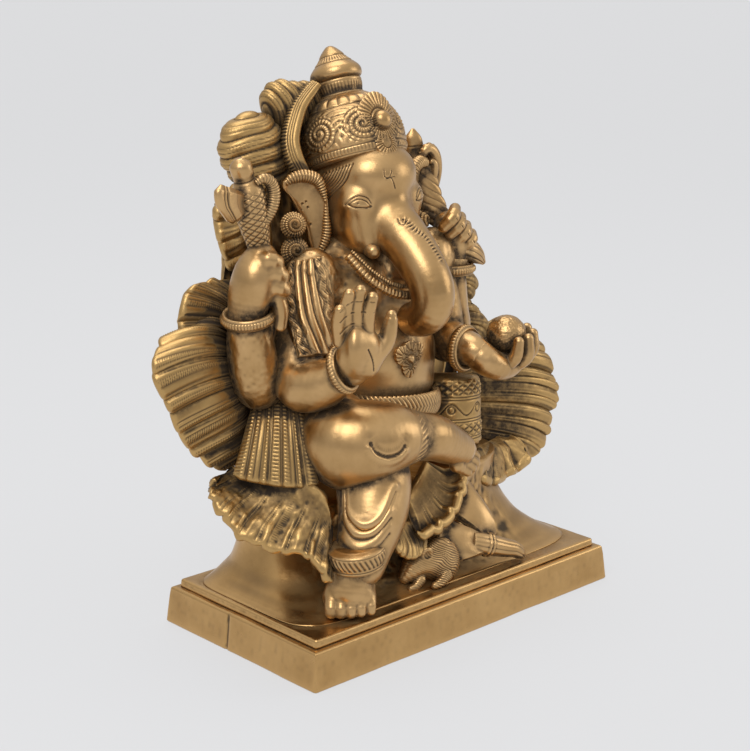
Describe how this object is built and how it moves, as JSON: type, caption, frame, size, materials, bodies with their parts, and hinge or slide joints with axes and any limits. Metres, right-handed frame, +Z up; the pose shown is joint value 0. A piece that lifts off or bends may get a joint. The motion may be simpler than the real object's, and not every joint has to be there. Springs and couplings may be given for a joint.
{
  "type": "brass deity statue",
  "caption": "Seated elephant-headed deity in cast brass on a ribbed conch throne and a stepped rectangular plinth.",
  "frame": {"origin": "centre of the plinth's underside, on the surface that the statue stands on", "axes": "+Z up, the figure faces -Y, and its left hand side is towards +X"},
  "size_m": [0.2896, 0.1248, 0.3034],
  "materials": {
    "satin_brass": "satin polished brass with dark patina left in the grooves",
    "aged_brass": "rubbed brass with heavy brown patina between raised ribs",
    "plinth_brass": "smooth satin brass with fine casting pits and a dark seam"
  },
  "bodies": {
    "root": {"arm_back_left": "satin_brass", "arm_back_right": "satin_brass", "arm_front_left": "satin_brass", "arm_front_right": "satin_brass", "axe": "satin_brass", "belly": "satin_brass", "belt": "satin_brass", "bolster": "aged_brass", "bracelet_back_left": "satin_brass", "bracelet_back_right": "satin_brass", "bracelet_front_left": "satin_brass", "bracelet_front_right": "satin_brass", "chest": "aged_brass", "crown_boss": "satin_brass", "crown_collar": "satin_brass", "crown_dome": "satin_brass", "crown_medallion": "satin_brass", "cuff_folded": "satin_brass", "curl_lower_left": "satin_brass", "curl_lower_right": "satin_brass", "curl_upper_left": "satin_brass", "curl_upper_right": "satin_brass", "ear_left": "satin_brass", "ear_right": "satin_brass", "fan_left": "aged_brass", "fan_right": "aged_brass", "finial": "satin_brass", "foot_folded": "satin_brass", "foot_lowered": "satin_brass", "hand_back_left": "satin_brass", "hand_back_right": "satin_brass", "hand_front_left": "satin_brass", "hand_front_right": "satin_brass", "head": "satin_brass", "hem_lowered": "satin_brass", "leaf_bundle": "satin_brass", "leg_folded": "satin_brass", "leg_lowered": "satin_brass", "mouse": "satin_brass", "necklace": "satin_brass", "noose": "satin_brass", "noose_tail": "satin_brass", "pedestal": "plinth_brass", "pendant": "satin_brass", "pleated_sash": "aged_brass", "plinth_block": "plinth_brass", "plinth_step": "plinth_brass", "seat_lip_centre": "aged_brass", "seat_lip_left": "aged_brass", "seat_lip_right": "aged_brass", "shawl": "satin_brass", "shell_back": "aged_brass", "shell_hood": "aged_brass", "shell_rear_lobes": "aged_brass", "sweet": "satin_brass", "trunk": "satin_brass", "tusk_left": "satin_brass", "tusk_right": "satin_brass", "whorl_band": "aged_brass"}
  },
  "joints": []
}
